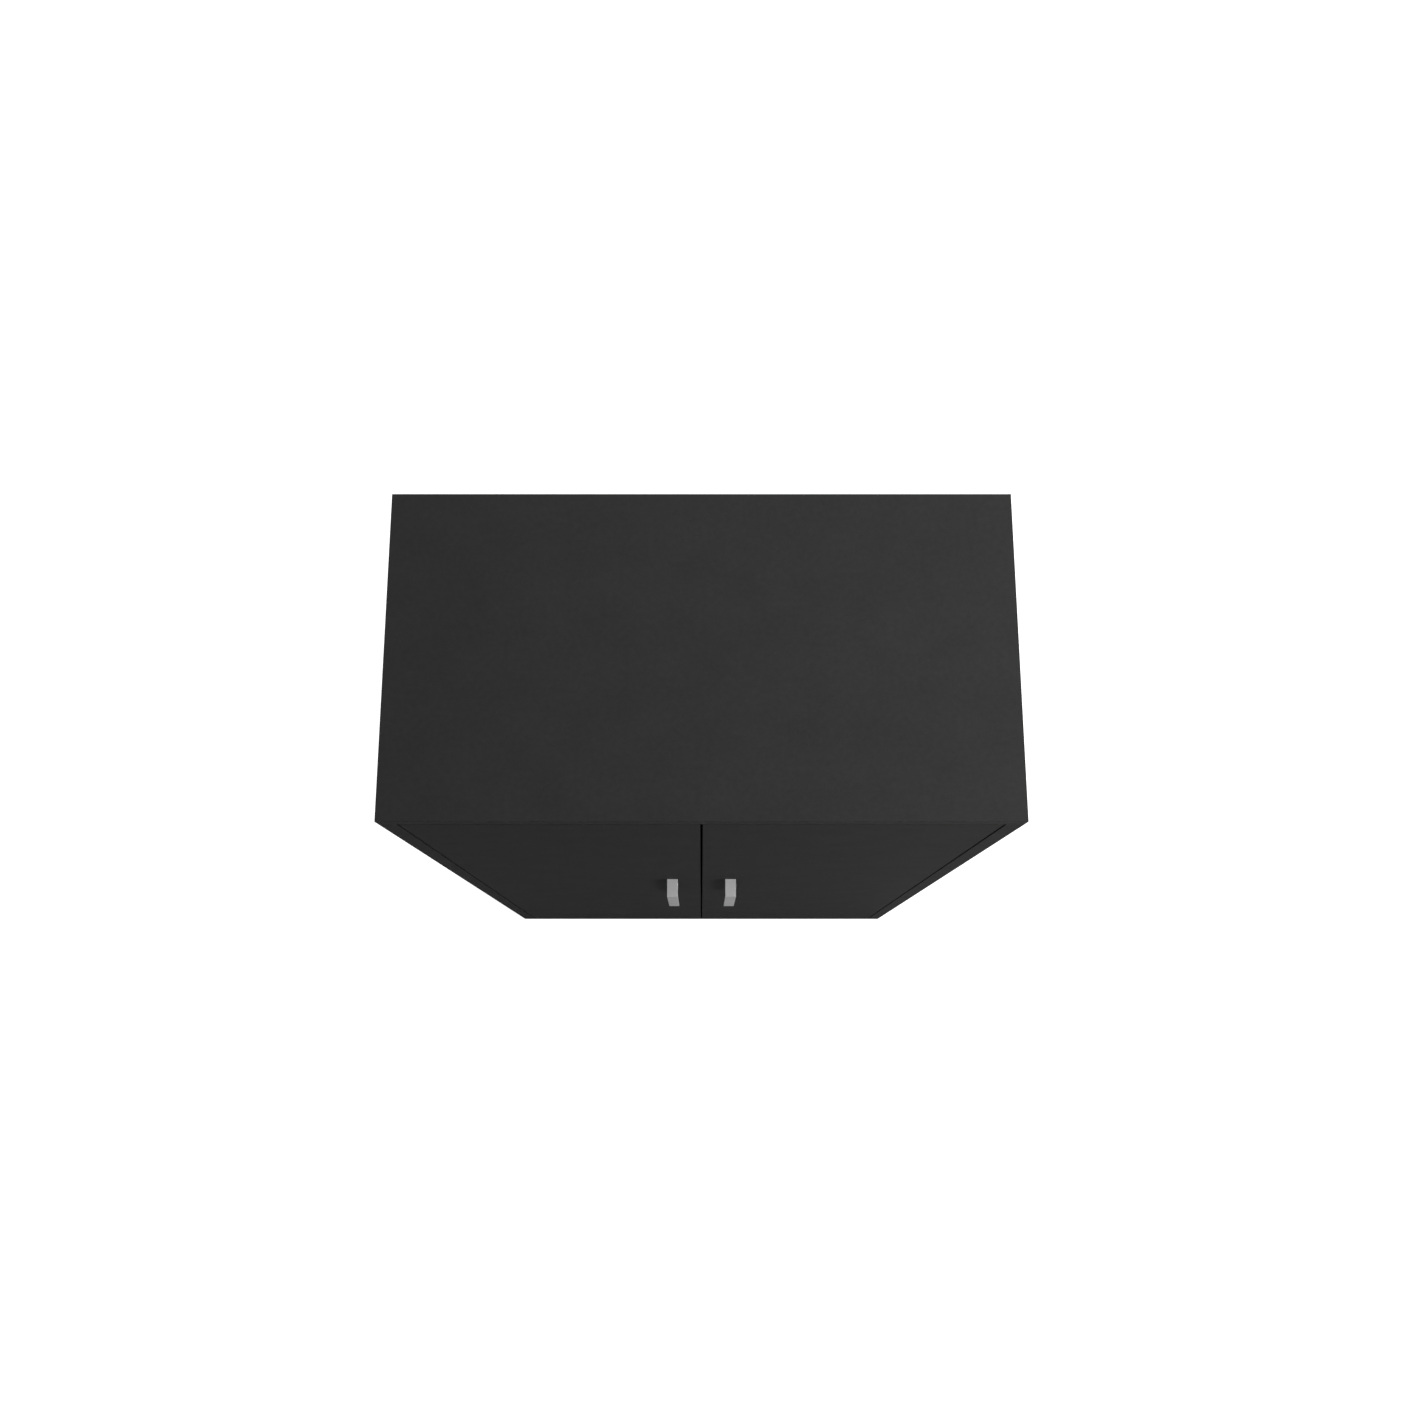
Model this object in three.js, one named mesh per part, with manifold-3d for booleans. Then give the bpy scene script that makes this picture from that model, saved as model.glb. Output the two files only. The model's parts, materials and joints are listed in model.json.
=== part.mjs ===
// Wardrobe with two flush doors: a board carcass, a hat shelf and a hanging rail inside, and each
// door on three concealed cup hinges. Millimetres, +Z up, front towards -Y, left towards -X.
// The origin is on the floor, in the middle of the whole object's width and depth.
import * as THREE from "three";
import { mergeVertices } from "three/addons/utils/BufferGeometryUtils.js";
import Module from "manifold-3d";

// ---- Driving dimensions ----
const WIDTH = 900;
const HEIGHT = 1700;
const CARCASS_DEPTH = 480;
const BOARD = 25; // carcass boards
const DOOR_BOARD = 18;
const SHELF_BOARD = 18;
const DOOR_GAP = 3; // beside, above and below each door
const CENTRE_GAP = 3.5; // between the two doors
const SNUG = 0.3; // gap round a piece that sits in another
const BREAK = 1; // how far a cutting shape runs past the face that it cuts

const HANDLE_WIDTH = 20;
const HANDLE_LENGTH = 204;
const HANDLE_PITCH = 192; // between its two screws
const HANDLE_PROJECTION = 33;
const HANDLE_GRIP = 4; // thickness of the grip
const HANDLE_CORNER = 1.2;
const HANDLE_FILLET = 3; // inside, where the grip meets the upper arm
const HANDLE_POST = 5; // radius of the round post behind the grip's lower end
const HANDLE_TOP = 960;
const HANDLE_OFFSET = 55; // from the middle of the wardrobe to the handle's middle
const HANDLE_SCREW = { radius: 2, headRadius: 4.5, headHeight: 2.2, reach: 11, play: 0.4, thread: 0.1 };

const BACK_BOARD = 3;
const RABBET_DEPTH = 4; // rear step that takes the back
const RABBET_WIDTH = 10;
const JOINT_STRIP = { halfFlange: 9, halfWeb: 0.6, frontFlange: 1.2, play: 0.1 };

const HAT_SPACE = 300; // from the shelf to the top panel
const SHELF_SETBACK = 40; // from the front plane to the shelf's front edge
const SHELF_END_GAP = 0.5;
const SHELF_REAR_GAP = 1.5;
const SHELF_PIN = { radius: 2.5, drop: 5, sink: 9, fromFront: 90, fromBack: 60, play: 0.1 };
const SHELF_SEAT = { length: 10, halfWidth: 6, thickness: 2, height: 12, gussetLength: 8, gussetHeight: 7 };

const RAIL = { height: 30, thickness: 15, wall: 1.2, belowShelf: 30 };
const SOCKET = { wall: 2, length: 16, ring: 2, plateWidth: 24, plateHeight: 62 };
const SOCKET_HOLES = { radius: 2, pitch: 46 };

const CAM = { radius: 7.6, depth: 12.5, inset: 34, fromEdge: 70 }; // pockets for the cam connectors
const GLIDE = { height: 5, soleRadius: 9, rimRadius: 10.5, rimHeight: 1.5, topRadius: 11, inset: 40 };
const BRACKET = { inner: 190, outer: 230, thickness: 2, depth: 42, height: 40 };
const BRACKET_SCREWS = { radius: 2.5, pitch: 24, fromBack: 26 };
const BRACKET_WALL_HOLE = { radius: 3.5, drop: 24 };

// Twin magnetic catch under the top panel, and the plate on each door that it holds.
const STRIKE = { inner: 6, outer: 28, thickness: 0.8, height: 21, drop: 1, holeRadius: 1.8, holeDrop: 17 };
const CATCH = { halfWidth: 30, depth: 14, height: 14, rearWall: 2, gap: 0.4 };
const MAGNET = { inner: 8, outer: 24, bottom: 12.5, top: 4, setback: 0.1 };

// Hinge, in plan: u runs inwards from the side panel's inner face, v backwards from the front
// plane. Angles and w, upwards, start at the hinge's middle.
const PIVOT = { u: DOOR_GAP + 16, v: 9 };
const PIN = { radius: 1.25, halfLength: 9, play: 0.1 };
const CUP = { u: DOOR_GAP + 22.5, radius: 17.5, depth: 13.2, play: 0.2, wall: 1.1, floor: 1 };
const CUP_FLANGE = { thickness: 1.2, lip: 0.7 };
const CUP_WING = { offset: 6, pitch: 48, radius: 5.5, holeRadius: 2 };
const ARM = { thickness: 2.4, halfWidth: 5.5, barU: 8.5, endV: 74, eyeRadius: 2.8, slotPlay: 0.8 };
const NECK = { radius: 21, start: THREE.MathUtils.degToRad(17), bend: 3.5 }; // curls round the door's edge
const CHANNEL = { startV: 38, halfWidth: 8, lipInset: 3, lipWall: 1.3, lipLift: 0.6 };
const ARM_SCREWS = { v: [46, 66], radius: 2.6 };
const PLATE = { base: 2, v: [39, 73], halfWidth: 8, blockV: [40, 71], blockHalfWidth: 6.3 };
const PLATE_WING = { v: 56, pitch: 32, radius: 5.5, holeRadius: 2.2 };
const HINGE_INSET = 120; // from the door's ends to its outer hinges

// Flats round a full circle, by how large and how visible the circle is.
const LARGE_SIDES = 40;
const MEDIUM_SIDES = 20;
const SMALL_SIDES = 16;
const HOLE_SIDES = 12;

// ---- Places worked out from them ----
const FRONT = HANDLE_PROJECTION - (CARCASS_DEPTH + HANDLE_PROJECTION) / 2;
const REAR = FRONT + CARCASS_DEPTH;
const DOOR_BACK = FRONT + DOOR_BOARD;
const SIDE_INNER = WIDTH / 2 - BOARD;
const FLOOR_TOP = GLIDE.height + BOARD; // top of the bottom panel
const CEILING = HEIGHT - BOARD; // underside of the top panel
const BACK_EDGE = SIDE_INNER + RABBET_WIDTH;
const BACK_FACE = REAR - RABBET_DEPTH; // the back's inner face
const DOOR_BOTTOM = FLOOR_TOP + DOOR_GAP;
const DOOR_TOP = CEILING - DOOR_GAP;
const SHELF_TOP = CEILING - HAT_SPACE;
const SHELF_UNDERSIDE = SHELF_TOP - SHELF_BOARD;
const SHELF_PIN_Z = SHELF_UNDERSIDE - SHELF_PIN.drop;
const SHELF_PINS_Y = { front: FRONT + SHELF_PIN.fromFront, rear: BACK_FACE - SHELF_PIN.fromBack };
const RAIL_Z = SHELF_UNDERSIDE - RAIL.belowShelf - RAIL.height / 2;
const RAIL_Y = (DOOR_BACK + BACK_FACE) / 2;
const CAMS_Y = [FRONT + CAM.fromEdge, REAR - CAM.fromEdge];
const CATCH_FRONT = DOOR_BACK + STRIKE.thickness + CATCH.gap;
const HANDLE_ARM = HANDLE_LENGTH - HANDLE_PITCH; // height of the upper arm
const HANDLE_BOTTOM = HANDLE_TOP - HANDLE_LENGTH;
const HANDLE_SCREWS_Z = {
  lower: HANDLE_BOTTOM + HANDLE_ARM / 2,
  upper: HANDLE_TOP - HANDLE_ARM / 2,
};
const HINGES_Z = {
  lower: DOOR_BOTTOM + HINGE_INSET,
  middle: (DOOR_BOTTOM + DOOR_TOP) / 2,
  upper: DOOR_TOP - HINGE_INSET,
};

// ---- Materials ----
const finish = (color, roughness, metalness) =>
  new THREE.MeshStandardMaterial({ color, roughness, metalness });
const blackBoard = finish(0x343434, 0.7, 0);
const hardboard = finish(0x2e2d2c, 0.8, 0);
const satinGrey = finish(0x9a9a9a, 0.5, 0.2);
const nickelSteel = finish(0xb4b4b2, 0.3, 1);
const chrome = finish(0xd0d0d0, 0.12, 1);
const blackPlastic = finish(0x1a1a1a, 0.55, 0);
const magnetGrey = finish(0x4a4a4c, 0.5, 0.4);

// ---- Solids ----
const wasm = await Module();
wasm.setup();

// A closed three.js geometry as a manifold-3d solid.
function solid(geometry) {
  const bare = new THREE.BufferGeometry();
  bare.setAttribute("position", geometry.getAttribute("position"));
  bare.setIndex(geometry.index);
  const merged = mergeVertices(bare, 1e-4);
  return new wasm.Manifold(
    new wasm.Mesh({
      numProp: 3,
      vertProperties: merged.getAttribute("position").array,
      triVerts: merged.index.array,
    }),
  );
}

const join = (first, ...rest) => rest.reduce((made, piece) => made.add(piece), first);
const cut = (first, ...rest) => rest.reduce((made, piece) => made.subtract(piece), first);

// Two values either side of a middle.
const about = (middle, reach) => [middle - reach, middle + reach];

// A block between two corners.
function block([x0, x1], [y0, y1], [z0, z1]) {
  const geometry = new THREE.BoxGeometry(x1 - x0, y1 - y0, z1 - z0);
  return solid(geometry.translate((x0 + x1) / 2, (y0 + y1) / 2, (z0 + z1) / 2));
}

// A round bar between two points.
function rod(radius, from, to, sides = SMALL_SIDES) {
  const start = new THREE.Vector3(...from);
  const run = new THREE.Vector3(...to).sub(start);
  const geometry = new THREE.CylinderGeometry(radius, radius, run.length(), sides);
  geometry.translate(0, run.length() / 2, 0);
  const turn = new THREE.Quaternion().setFromUnitVectors(
    new THREE.Vector3(0, 1, 0),
    run.clone().normalize(),
  );
  return solid(geometry.applyQuaternion(turn).translate(...from));
}

// Round bars along one axis: each runs from..to there, and the point gives the other two.
const rodX = (radius, [from, to], y, z, sides) => rod(radius, [from, y, z], [to, y, z], sides);
const rodY = (radius, x, [from, to], z, sides) => rod(radius, [x, from, z], [x, to, z], sides);
const rodZ = (radius, x, y, [from, to], sides) => rod(radius, [x, y, from], [x, y, to], sides);

// A plan outline, in x and y, drawn up from z0 to z1.
function upright(shape, [z0, z1]) {
  const options = { depth: z1 - z0, bevelEnabled: false };
  return solid(new THREE.ExtrudeGeometry(shape, options).translate(0, 0, z0));
}

// A side outline, in y and z, drawn across from x0 to x1.
function across(shape, [x0, x1], curveSegments = 12) {
  const options = { depth: x1 - x0, bevelEnabled: false, curveSegments };
  const geometry = new THREE.ExtrudeGeometry(shape, options).translate(0, 0, x0);
  const axes = [new THREE.Vector3(0, 1, 0), new THREE.Vector3(0, 0, 1), new THREE.Vector3(1, 0, 0)];
  return solid(geometry.applyMatrix4(new THREE.Matrix4().makeBasis(...axes)));
}

const outline = (points) => new THREE.Shape(points.map(([a, b]) => new THREE.Vector2(a, b)));

// An upright oval round the hanging rail's middle: two half circles joined by straight sides.
function railOval(width, height) {
  const radius = width / 2;
  const reach = height / 2 - radius;
  const shape = new THREE.Shape();
  shape.absarc(RAIL_Y, RAIL_Z + reach, radius, 0, Math.PI, false);
  shape.absarc(RAIL_Y, RAIL_Z - reach, radius, Math.PI, 2 * Math.PI, false);
  return shape;
}

// The outline of a strip of even thickness that follows a path.
function strip(path, thickness, divisions) {
  const line = path.getPoints(divisions).filter(
    (point, i, all) => i === 0 || point.distanceTo(all[i - 1]) > 1e-6,
  );
  const edge = (side) =>
    line.map((point, i) => {
      const before = line[Math.max(i - 1, 0)];
      const after = line[Math.min(i + 1, line.length - 1)];
      const along = after.clone().sub(before).normalize();
      return [point.x - (side * along.y * thickness) / 2, point.y + (side * along.x * thickness) / 2];
    });
  return outline([...edge(-1), ...edge(1).reverse()]);
}

// ---- The part ----
const wardrobe = new THREE.Group();

function add(parent, name, material, made) {
  const { vertProperties, triVerts } = made.getMesh();
  const geometry = new THREE.BufferGeometry();
  geometry.setAttribute("position", new THREE.BufferAttribute(vertProperties, 3));
  geometry.setIndex(new THREE.BufferAttribute(triVerts, 1));
  geometry.computeVertexNormals();
  const mesh = new THREE.Mesh(geometry, material);
  mesh.name = name;
  parent.add(mesh);
}

// ---- Carcass pieces on the centre line ----
function topPanel() {
  const board = block(about(0, WIDTH / 2), [FRONT, REAR], [CEILING, HEIGHT]);
  const step = [CEILING - BREAK, CEILING + RABBET_WIDTH];
  return cut(board, block(about(0, BACK_EDGE), [BACK_FACE, REAR + BREAK], step));
}

function bottomPanel() {
  const board = block(about(0, SIDE_INNER), [FRONT, REAR], [GLIDE.height, FLOOR_TOP]);
  const step = [FLOOR_TOP - RABBET_WIDTH, FLOOR_TOP + BREAK];
  const pocket = [GLIDE.height - BREAK, GLIDE.height + CAM.depth];
  const cams = about(0, SIDE_INNER - CAM.inset).flatMap((x) =>
    CAMS_Y.map((y) => rodZ(CAM.radius, x, y, pocket, LARGE_SIDES)),
  );
  return cut(board, block(about(0, WIDTH), [BACK_FACE, REAR + BREAK], step), ...cams);
}

function hatShelf() {
  const y = [FRONT + SHELF_SETBACK, BACK_FACE - SHELF_REAR_GAP];
  return block(about(0, SIDE_INNER - SHELF_END_GAP), y, [SHELF_UNDERSIDE, SHELF_TOP]);
}

// Plastic H section that holds the inner edges of the two back boards.
function backJointStrip() {
  const { halfFlange, halfWeb, frontFlange, play } = JOINT_STRIP;
  const inner = BACK_FACE - play;
  const outer = BACK_FACE + BACK_BOARD + play;
  const right = [
    [halfFlange, BACK_FACE - frontFlange],
    [halfFlange, inner],
    [halfWeb, inner],
    [halfWeb, outer],
    [halfFlange, outer],
    [halfFlange, REAR - play],
  ];
  const left = right.map(([x, y]) => [-x, y]).reverse();
  return upright(outline([...right, ...left]), [FLOOR_TOP + SNUG, CEILING - SNUG]);
}

function hangingRail() {
  const section = railOval(RAIL.thickness, RAIL.height);
  section.holes.push(railOval(RAIL.thickness - 2 * RAIL.wall, RAIL.height - 2 * RAIL.wall));
  return across(section, about(0, SIDE_INNER - SOCKET.wall - SNUG));
}

// Housing of the catch, with a pocket for each door's magnet.
function catchHousing() {
  const rear = CATCH_FRONT + CATCH.depth;
  const y = [CATCH_FRONT, rear];
  const body = block(about(0, CATCH.halfWidth), y, [CEILING - CATCH.height, CEILING]);
  const pockets = [-1, 1].map((side) => {
    const middle = (side * (MAGNET.inner + MAGNET.outer)) / 2;
    const reach = (MAGNET.outer - MAGNET.inner) / 2 + SNUG;
    const z = [CEILING - MAGNET.bottom - SNUG, CEILING - MAGNET.top + SNUG];
    return block(about(middle, reach), [CATCH_FRONT - BREAK, rear - CATCH.rearWall], z);
  });
  return cut(body, ...pockets);
}

add(wardrobe, "top_panel", blackBoard, topPanel());
add(wardrobe, "bottom_panel", blackBoard, bottomPanel());
add(wardrobe, "hat_shelf", blackBoard, hatShelf());
add(wardrobe, "back_joint_strip", blackPlastic, backJointStrip());
add(wardrobe, "hanging_rail", chrome, hangingRail());
add(wardrobe, "catch_housing", blackPlastic, catchHousing());

// ---- Pieces of the left half, mirrored for the right ----
function magnet() {
  const y = [CATCH_FRONT + MAGNET.setback, CATCH_FRONT + CATCH.depth - CATCH.rearWall - SNUG];
  return block([-MAGNET.outer, -MAGNET.inner], y, [CEILING - MAGNET.bottom, CEILING - MAGNET.top]);
}

function sidePanel() {
  const inner = -SIDE_INNER;
  const plan = outline([
    [-WIDTH / 2, FRONT],
    [inner, FRONT],
    [inner, BACK_FACE],
    [inner - RABBET_WIDTH, BACK_FACE],
    [inner - RABBET_WIDTH, REAR],
    [-WIDTH / 2, REAR],
  ]);
  const sunk = [inner + BREAK, inner - SHELF_PIN.sink - SNUG];
  const pinHoles = Object.values(SHELF_PINS_Y).map((y) =>
    rodX(SHELF_PIN.radius + SHELF_PIN.play, sunk, y, SHELF_PIN_Z),
  );
  const pocket = [inner + BREAK, inner - CAM.depth];
  const cams = CAMS_Y.map((y) => rodX(CAM.radius, pocket, y, CEILING - CAM.inset, LARGE_SIDES));
  return cut(upright(plan, [GLIDE.height, CEILING]), ...pinHoles, ...cams);
}

function backPanel() {
  const x = [-BACK_EDGE + SNUG, -JOINT_STRIP.halfWeb - SNUG];
  const z = [FLOOR_TOP - RABBET_WIDTH + SNUG, CEILING + RABBET_WIDTH - SNUG];
  return block(x, [BACK_FACE, BACK_FACE + BACK_BOARD], z);
}

// Nail-on glide under a side panel's corner.
function glide(y) {
  const section = [
    [0, 0],
    [GLIDE.soleRadius, 0],
    [GLIDE.rimRadius, GLIDE.rimHeight],
    [GLIDE.topRadius, GLIDE.height],
    [0, GLIDE.height],
  ];
  const points = section.map(([radius, z]) => new THREE.Vector2(radius, z));
  const foot = new THREE.LatheGeometry(points, MEDIUM_SIDES);
  return solid(foot.rotateX(Math.PI / 2).translate(-(WIDTH - BOARD) / 2, y, 0));
}

// Shelf support: a pin in the side panel, and a seat with a gusset under the shelf.
function shelfPin(y) {
  const face = -SIDE_INNER;
  const { length, halfWidth, thickness, height, gussetLength, gussetHeight } = SHELF_SEAT;
  const under = SHELF_UNDERSIDE - thickness / 2;
  const width = about(y, halfWidth);
  const seat = block([face, face + length], width, [SHELF_UNDERSIDE - thickness, SHELF_UNDERSIDE]);
  const plate = block([face, face + thickness], width, [SHELF_UNDERSIDE - height, under]);
  const web = [SHELF_UNDERSIDE - gussetHeight, under];
  const gusset = block([face + thickness / 2, face + gussetLength], about(y, thickness / 2), web);
  const pin = rodX(SHELF_PIN.radius, [face + thickness / 2, face - SHELF_PIN.sink], y, SHELF_PIN_Z);
  return join(seat, plate, gusset, pin);
}

// End socket of the hanging rail: a wall plate with two screw holes, and a ring round the rail.
function railSocket() {
  const face = -SIDE_INNER;
  const plate = across(railOval(SOCKET.plateWidth, SOCKET.plateHeight), [face, face + SOCKET.wall]);
  const bore = [RAIL.thickness + 2 * SNUG, RAIL.height + 2 * SNUG];
  const ring = railOval(...bore.map((size) => size + 2 * SOCKET.ring));
  ring.holes.push(railOval(...bore));
  const ringSpan = [face + SOCKET.wall / 2, face + SOCKET.length];
  const through = [face - BREAK, face + SOCKET.wall + BREAK];
  const holes = about(RAIL_Z, SOCKET_HOLES.pitch / 2).map((z) =>
    rodX(SOCKET_HOLES.radius, through, RAIL_Y, z),
  );
  return cut(join(plate, across(ring, ringSpan)), ...holes);
}

// Steel angle in the top rear corner that ties the wardrobe to a wall.
function antiTipBracket() {
  const { thickness } = BRACKET;
  const x = [-BRACKET.outer, -BRACKET.inner];
  const middle = -(BRACKET.inner + BRACKET.outer) / 2;
  const flat = block(x, [BACK_FACE - BRACKET.depth, BACK_FACE], [CEILING - thickness, CEILING]);
  const upZ = [CEILING - BRACKET.height, CEILING - thickness / 2];
  const back = block(x, [BACK_FACE - thickness, BACK_FACE], upZ);
  const screwsY = BACK_FACE - BRACKET_SCREWS.fromBack;
  const screwHoles = about(middle, BRACKET_SCREWS.pitch / 2).map((hole) =>
    rodZ(BRACKET_SCREWS.radius, hole, screwsY, [CEILING - thickness - BREAK, CEILING + BREAK]),
  );
  const through = [BACK_FACE - thickness - BREAK, BACK_FACE + BREAK];
  const wallHole = rodY(BRACKET_WALL_HOLE.radius, middle, through, CEILING - BRACKET_WALL_HOLE.drop);
  return cut(join(flat, back), ...screwHoles, wallHole);
}

function door() {
  const board = block(
    [-SIDE_INNER + DOOR_GAP, -CENTRE_GAP / 2],
    [FRONT, DOOR_BACK],
    [DOOR_BOTTOM, DOOR_TOP],
  );
  const cups = Object.values(HINGES_Z).map((z) =>
    rodY(CUP.radius, CUP.u - SIDE_INNER, [DOOR_BACK + BREAK, DOOR_BACK - CUP.depth], z, LARGE_SIDES),
  );
  const holes = Object.values(HANDLE_SCREWS_Z).map((z) =>
    rodY(HANDLE_SCREW.radius + HANDLE_SCREW.play, -HANDLE_OFFSET, [FRONT - BREAK, DOOR_BACK + BREAK], z),
  );
  return cut(board, ...cups, ...holes);
}

// A flat grip that turns square into an arm as wide as itself at its upper end, and stands on a
// round post at its lower end. Both are screwed on from inside the door.
function handle() {
  const tip = FRONT - HANDLE_PROJECTION;
  const grip = tip + HANDLE_GRIP;
  const upperArm = HANDLE_TOP - HANDLE_ARM;
  const side = new THREE.Shape();
  side.moveTo(grip, HANDLE_BOTTOM);
  side.lineTo(grip, upperArm - HANDLE_FILLET);
  side.quadraticCurveTo(grip, upperArm, grip + HANDLE_FILLET, upperArm);
  side.lineTo(FRONT, upperArm);
  side.lineTo(FRONT, HANDLE_TOP);
  side.lineTo(tip + HANDLE_CORNER, HANDLE_TOP);
  side.quadraticCurveTo(tip, HANDLE_TOP, tip, HANDLE_TOP - HANDLE_CORNER);
  side.lineTo(tip, HANDLE_BOTTOM + HANDLE_CORNER);
  side.quadraticCurveTo(tip, HANDLE_BOTTOM, tip + HANDLE_CORNER, HANDLE_BOTTOM);
  side.closePath();
  const bar = across(side, about(-HANDLE_OFFSET, HANDLE_WIDTH / 2), 4);
  const postEnd = grip - HANDLE_GRIP / 2;
  const post = rodY(HANDLE_POST, -HANDLE_OFFSET, [FRONT, postEnd], HANDLE_SCREWS_Z.lower, MEDIUM_SIDES);
  const { radius, reach, thread } = HANDLE_SCREW;
  const threads = Object.values(HANDLE_SCREWS_Z).map((z) =>
    rodY(radius + thread, -HANDLE_OFFSET, [FRONT + BREAK, FRONT - reach - BREAK], z),
  );
  return cut(join(bar, post), ...threads);
}

function handleScrew(z) {
  const { radius, headRadius, headHeight, reach } = HANDLE_SCREW;
  const shank = rodY(radius, -HANDLE_OFFSET, [FRONT - reach, DOOR_BACK + headHeight / 2], z);
  const head = rodY(headRadius, -HANDLE_OFFSET, [DOOR_BACK, DOOR_BACK + headHeight], z, MEDIUM_SIDES);
  return join(shank, head);
}

function strikePlate() {
  const top = DOOR_TOP - STRIKE.drop;
  const y = [DOOR_BACK, DOOR_BACK + STRIKE.thickness];
  const plate = block([-STRIKE.outer, -STRIKE.inner], y, [top - STRIKE.height, top]);
  const middle = -(STRIKE.inner + STRIKE.outer) / 2;
  const through = [DOOR_BACK - BREAK, DOOR_BACK + STRIKE.thickness + BREAK];
  return cut(plate, rodY(STRIKE.holeRadius, middle, through, DOOR_TOP - STRIKE.holeDrop, HOLE_SIDES));
}

// ---- Hinge: each piece in u, v and w ----
const pinBore = (halfLength) => rodZ(PIN.radius + PIN.play, PIVOT.u, PIVOT.v, about(0, halfLength));

function hingeCup() {
  const rear = DOOR_BOARD;
  const flange = [rear, rear + CUP_FLANGE.thickness];
  const wingU = CUP.u + CUP_WING.offset;
  const wingW = CUP_WING.pitch / 2;
  const disc = rodY(CUP.radius + CUP_FLANGE.lip, CUP.u, flange, 0, LARGE_SIDES);
  const wings = join(
    block(about(wingU, CUP_WING.radius), flange, about(0, wingW)),
    ...about(0, wingW).map((w) => rodY(CUP_WING.radius, wingU, flange, w)),
  );
  const outer = CUP.radius - CUP.play;
  const bottom = rear - CUP.depth + CUP.play;
  const shell = rodY(outer, CUP.u, [rear + CUP_FLANGE.thickness / 2, bottom], 0, LARGE_SIDES);
  const hollow = [bottom + CUP.floor, rear + CUP_FLANGE.thickness + BREAK];
  const slot = block(about(CUP.u, CUP.radius), hollow, about(0, ARM.halfWidth + ARM.slotPlay));
  const cavity = slot.intersect(rodY(outer - CUP.wall, CUP.u, hollow, 0, LARGE_SIDES));
  const through = [rear - BREAK, rear + CUP_FLANGE.thickness + BREAK];
  const screwHoles = about(0, wingW).map((w) =>
    rodY(CUP_WING.holeRadius, wingU, through, w, HOLE_SIDES),
  );
  return cut(join(disc, wings, shell), cavity, pinBore(PIN.halfLength + SNUG), ...screwHoles);
}

function hingePin() {
  return rodZ(PIN.radius, PIVOT.u, PIVOT.v, about(0, PIN.halfLength));
}

// Gooseneck arm: from the pin it leaves the cup, curls round the door's edge and runs back along
// the side panel, where it becomes a channel over the plate.
function hingeArm() {
  const { bend, start } = NECK;
  const at = (radius, angle) => [
    PIVOT.u + radius * Math.cos(angle),
    PIVOT.v + radius * Math.sin(angle),
  ];
  const neckEnd = start + bend / NECK.radius;
  const crankV = PIVOT.v + NECK.radius;
  const path = new THREE.Path();
  path.moveTo(PIVOT.u, PIVOT.v);
  path.lineTo(...at(NECK.radius - bend, start));
  path.quadraticCurveTo(...at(NECK.radius, start), ...at(NECK.radius, neckEnd));
  path.absarc(PIVOT.u, PIVOT.v, NECK.radius, neckEnd, Math.PI / 2, false);
  path.lineTo(ARM.barU + bend, crankV);
  path.quadraticCurveTo(ARM.barU, crankV, ARM.barU, crankV + bend);
  path.lineTo(ARM.barU, ARM.endV);
  const neck = upright(strip(path, ARM.thickness, 6), about(0, ARM.halfWidth));
  const eye = rodZ(ARM.eyeRadius, PIVOT.u, PIVOT.v, about(0, ARM.halfWidth));

  const [inner, outer] = about(ARM.barU, ARM.thickness / 2);
  const channel = block([inner, outer], [CHANNEL.startV, ARM.endV], about(0, CHANNEL.halfWidth));
  const lipV = [CHANNEL.startV + CHANNEL.lipInset, ARM.endV - CHANNEL.lipInset];
  const lips = [-1, 1].map((side) => {
    const middle = side * (CHANNEL.halfWidth - CHANNEL.lipWall / 2);
    return block([PLATE.base + CHANNEL.lipLift, outer], lipV, about(middle, CHANNEL.lipWall / 2));
  });
  const screwHoles = ARM_SCREWS.v.map((v) =>
    rodX(ARM_SCREWS.radius, [inner - BREAK, outer + BREAK], v, 0, HOLE_SIDES),
  );
  return cut(join(neck, eye, channel, ...lips), pinBore(PIN.halfLength), ...screwHoles);
}

// Mounting plate: a cross screwed to the side panel, with a raised block under the arm.
function hingePlate() {
  const flat = [0, PLATE.base];
  const wingW = PLATE_WING.pitch / 2;
  const base = block(flat, PLATE.v, about(0, PLATE.halfWidth));
  const wings = join(
    block(flat, about(PLATE_WING.v, PLATE_WING.radius), about(0, wingW)),
    ...about(0, wingW).map((w) => rodX(PLATE_WING.radius, flat, PLATE_WING.v, w)),
  );
  const blockTop = ARM.barU - ARM.thickness / 2 - SNUG;
  const raised = block([PLATE.base / 2, blockTop], PLATE.blockV, about(0, PLATE.blockHalfWidth));
  const screwHoles = about(0, wingW).map((w) =>
    rodX(PLATE_WING.holeRadius, [-BREAK, PLATE.base + BREAK], PLATE_WING.v, w, HOLE_SIDES),
  );
  return cut(join(base, wings, raised), ...screwHoles);
}

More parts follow.
